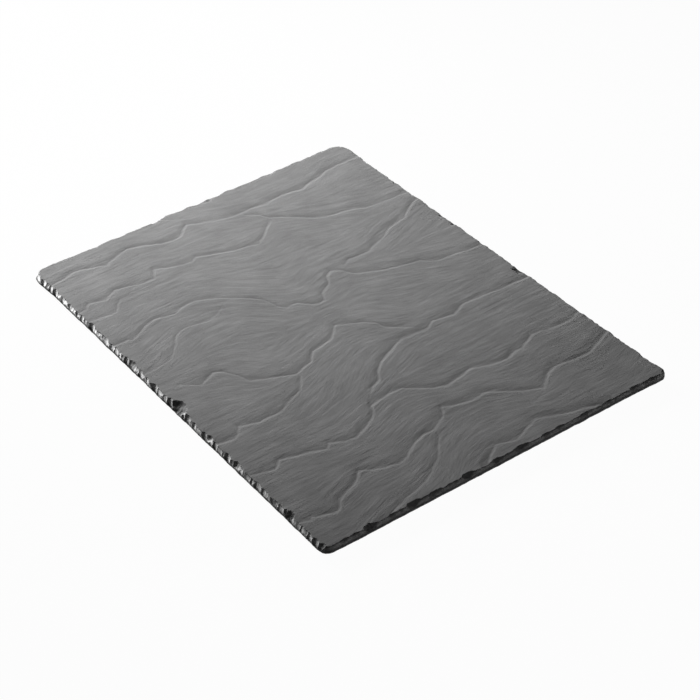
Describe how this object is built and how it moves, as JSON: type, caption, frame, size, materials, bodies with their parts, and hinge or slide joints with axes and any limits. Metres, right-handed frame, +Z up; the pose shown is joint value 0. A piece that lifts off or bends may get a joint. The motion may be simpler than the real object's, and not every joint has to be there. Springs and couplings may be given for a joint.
{
  "type": "slate serving board",
  "caption": "Rectangular riven slate serving board with knapped edges and rounded corners, standing on small round rubber feet stuck on with foam tape.",
  "frame": {"origin": "middle of the board, on the surface that the feet stand on", "axes": "+X along the long side, +Y from the front side to the rear side, +Z up, out of the serving face"},
  "size_m": [0.35, 0.25, 0.0085],
  "materials": {
    "slate": "matt riven cleavage on top, glossier conchoidal flakes along the edge",
    "foot_rubber": "matt moulded rubber",
    "foam_tape": "matt closed-cell foam with adhesive on both faces"
  },
  "bodies": {
    "root": {"slate_slab": "slate", "foot_front_left": "foot_rubber", "foot_front_right": "foot_rubber", "foot_rear_left": "foot_rubber", "foot_rear_right": "foot_rubber", "tape_front_left": "foam_tape", "tape_front_right": "foam_tape", "tape_rear_left": "foam_tape", "tape_rear_right": "foam_tape"}
  },
  "joints": []
}
